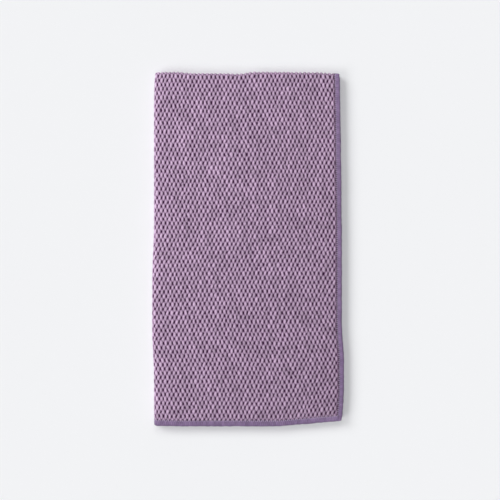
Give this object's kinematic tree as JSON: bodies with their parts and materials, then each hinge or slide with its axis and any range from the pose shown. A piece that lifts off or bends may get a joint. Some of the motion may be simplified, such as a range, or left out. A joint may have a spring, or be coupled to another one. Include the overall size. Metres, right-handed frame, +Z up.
{
  "type": "quick dry towel",
  "caption": "Waffle-knit quick dry travel towel folded in quarters, with overlocked edges; it opens like a book about the fold at its left side.",
  "frame": {"origin": "centre of the folded towel's bounding box in plan, at the height of the surface it lies on", "axes": "+Z up out of the lying towel; +Y along the folded towel's length, away from its stitched short edges and towards the cross folds; +X away from the spine fold, towards the stitched long edges"},
  "size_m": [0.2, 0.375, 0.0102],
  "materials": {
    "waffle_cloth": "matte",
    "edging_thread": "satin",
    "needle_thread": "satin"
  },
  "bodies": {
    "lower_half": {"lower_outer_panel": "waffle_cloth", "lower_inner_panel": "waffle_cloth", "lower_cross_fold": "waffle_cloth", "lower_long_edging": "edging_thread", "lower_outer_short_edging": "edging_thread", "lower_inner_short_edging": "edging_thread", "lower_long_seam": "needle_thread", "lower_outer_short_seam": "needle_thread", "lower_inner_short_seam": "needle_thread", "outer_spine_fold": "waffle_cloth", "inner_spine_fold": "waffle_cloth", "spine_cross_fold": "waffle_cloth", "outer_spine_edging": "edging_thread", "inner_spine_edging": "edging_thread", "outer_spine_seam": "needle_thread", "inner_spine_seam": "needle_thread"},
    "upper_half": {"upper_inner_panel": "waffle_cloth", "upper_outer_panel": "waffle_cloth", "upper_cross_fold": "waffle_cloth", "upper_long_edging": "edging_thread", "upper_inner_short_edging": "edging_thread", "upper_outer_short_edging": "edging_thread", "upper_long_seam": "needle_thread", "upper_inner_short_seam": "needle_thread", "upper_outer_short_seam": "needle_thread"}
  },
  "joints": [
    {"name": "spine_fold", "type": "hinge", "parent": "lower_half", "child": "upper_half", "pos_m": [-0.0963, 0, 0.0051], "axis": [0, -1, 0], "range_deg": [0, 179.9], "deforming": ["outer_spine_fold", "inner_spine_fold", "spine_cross_fold", "outer_spine_edging", "inner_spine_edging", "outer_spine_seam", "inner_spine_seam"]}
  ]
}
